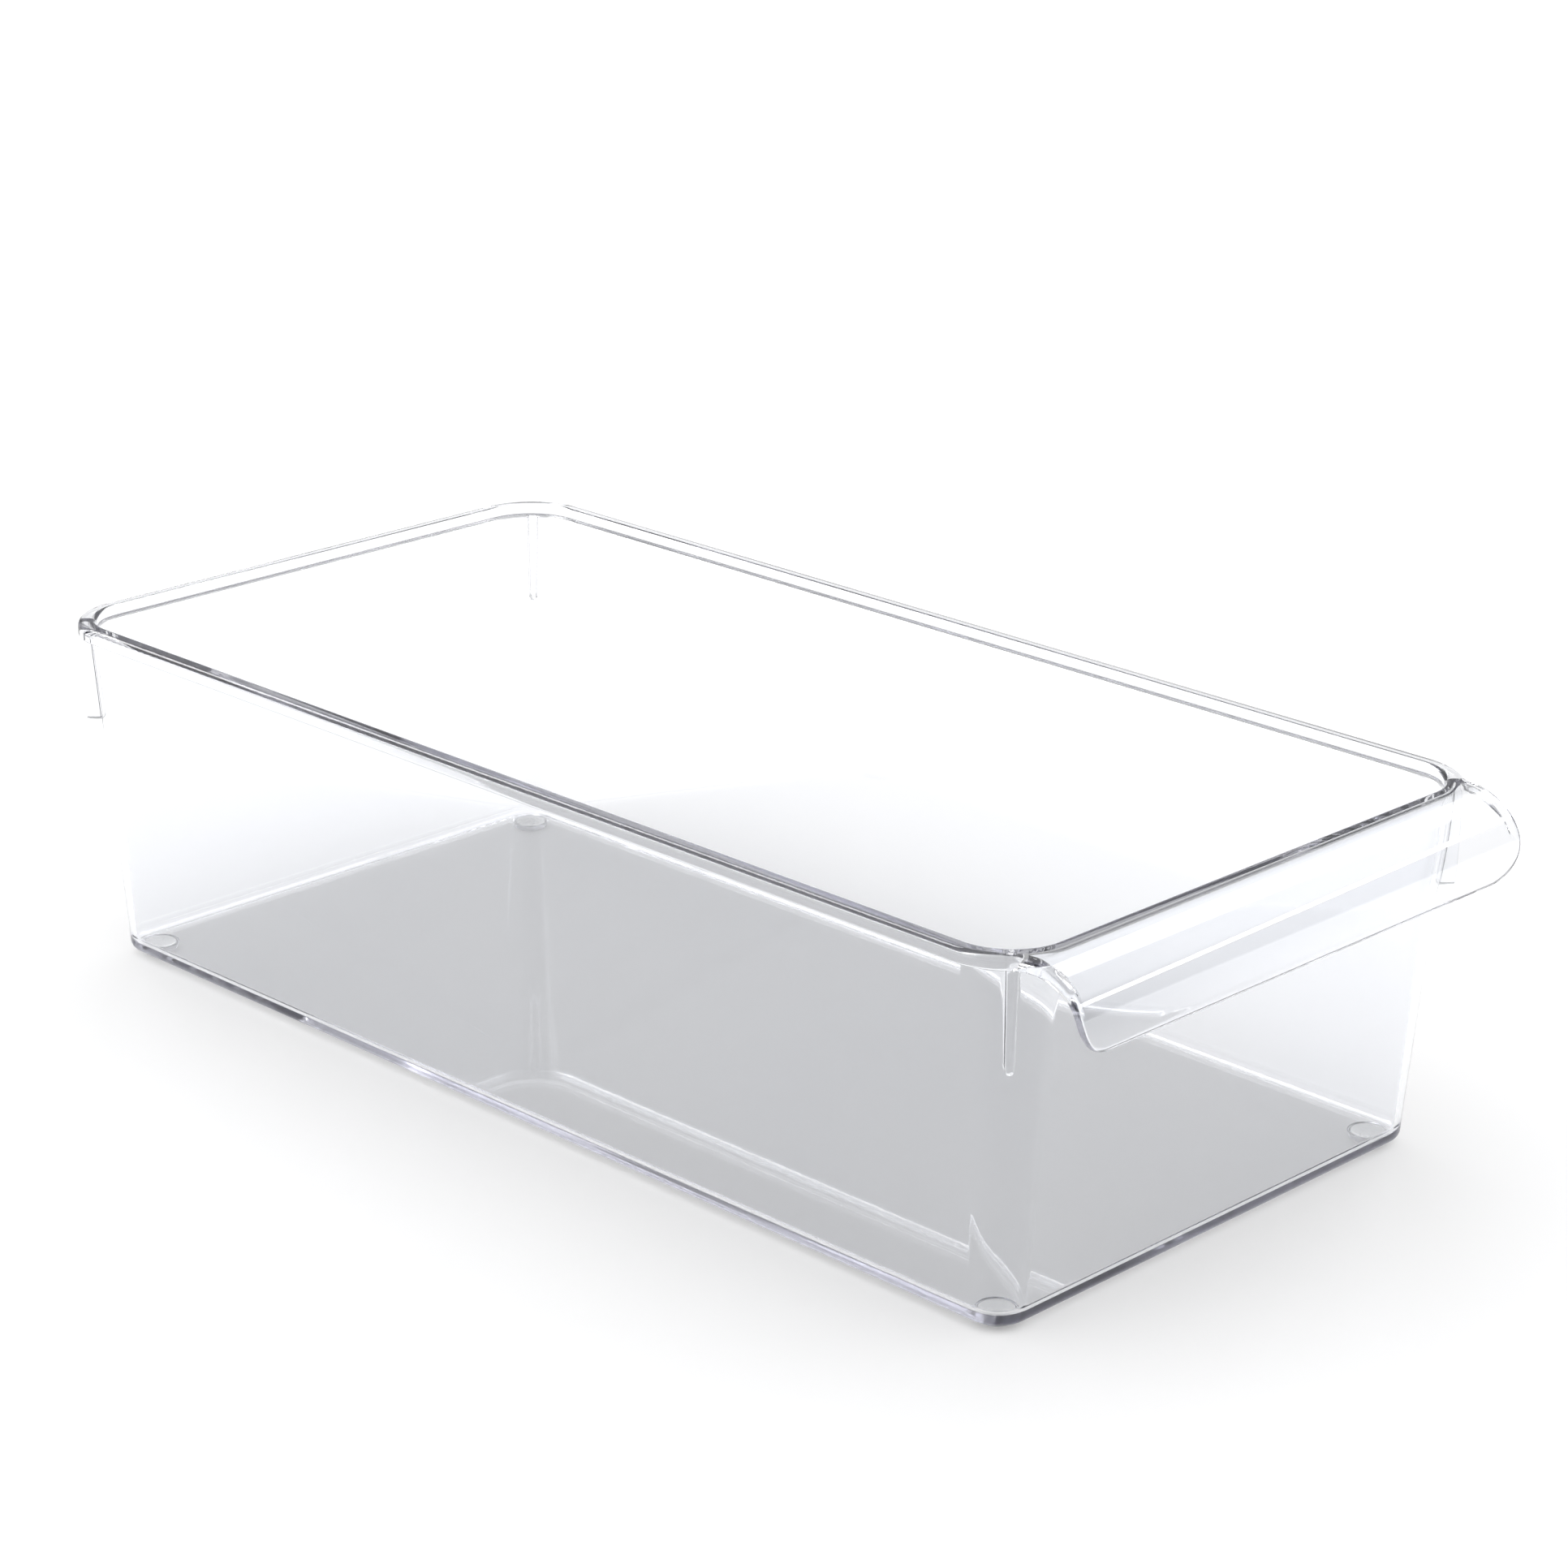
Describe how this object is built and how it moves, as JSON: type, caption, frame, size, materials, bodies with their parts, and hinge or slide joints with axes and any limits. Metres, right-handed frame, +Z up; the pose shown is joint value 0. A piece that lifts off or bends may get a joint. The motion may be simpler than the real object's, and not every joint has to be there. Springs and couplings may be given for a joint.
{
  "type": "fridge bin",
  "caption": "Clear open-top bin with leaning walls, a rounded outward rim, a rib on each corner, a full-width curled pull handle at one end and small round stick-on feet.",
  "frame": {"origin": "on the shelf plane under the feet, below the centre of the bin's overall outline (tub and handle together)", "axes": "+Z up, -Y towards the handle (front) end, +Y along the bin's length towards its plain end, +X to the right of someone pulling the bin out by its handle"},
  "size_m": [0.1728, 0.3533, 0.095],
  "materials": {
    "clear_plastic": "gloss",
    "clear_elastomer": "satin",
    "clear_adhesive": "satin"
  },
  "bodies": {
    "root": {"tub": "clear_plastic", "foot_front_left": "clear_elastomer", "foot_adhesive_front_left": "clear_adhesive", "foot_front_right": "clear_elastomer", "foot_adhesive_front_right": "clear_adhesive", "foot_rear_left": "clear_elastomer", "foot_adhesive_rear_left": "clear_adhesive", "foot_rear_right": "clear_elastomer", "foot_adhesive_rear_right": "clear_adhesive"}
  },
  "joints": []
}
